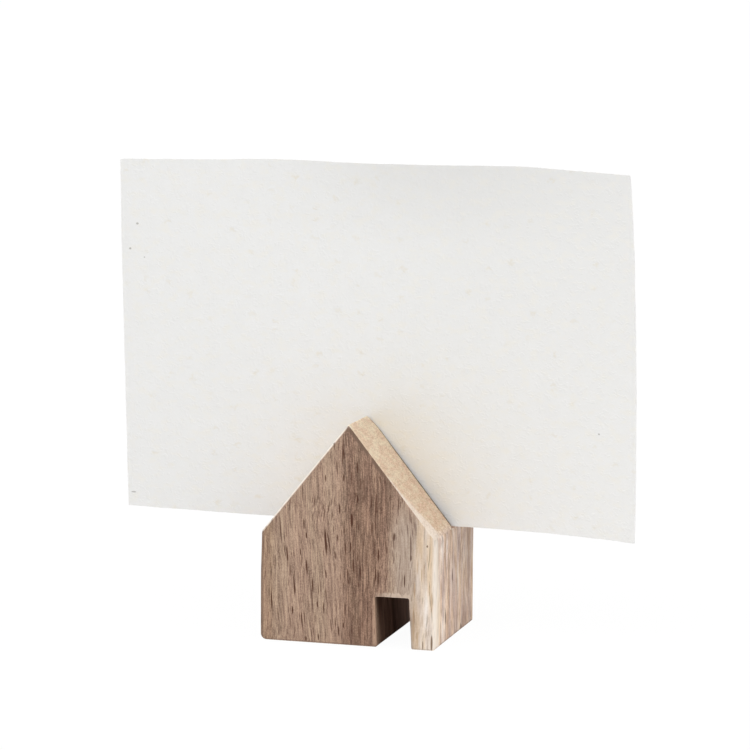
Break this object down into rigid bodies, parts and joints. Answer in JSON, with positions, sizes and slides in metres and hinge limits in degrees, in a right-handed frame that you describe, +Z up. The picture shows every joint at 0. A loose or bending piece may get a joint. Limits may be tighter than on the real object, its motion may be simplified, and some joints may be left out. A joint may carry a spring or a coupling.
{
  "type": "place card holder",
  "caption": "House-shaped hardwood block with a saw slot across its roof, in which a sheet of handmade paper stands as a place card.",
  "frame": {"origin": "centre of the house block's base, on the surface it stands on", "axes": "+Z up, the card slot runs along X, the front gable with the doorway on its right faces -Y"},
  "size_m": [0.1204, 0.035, 0.1067],
  "materials": {
    "acacia_wood": "sanded bare hardwood, brown heartwood with a cream sapwood corner",
    "handmade_paper": "thick matte handmade paper with fine fibres"
  },
  "bodies": {
    "house": {"house_block": "acacia_wood"},
    "card": {"place_card": "handmade_paper"}
  },
  "joints": [
    {"name": "card_lift", "type": "slide", "parent": "house", "child": "card", "axis": [0, 0, 1], "range_m": [0, 0.03]}
  ]
}
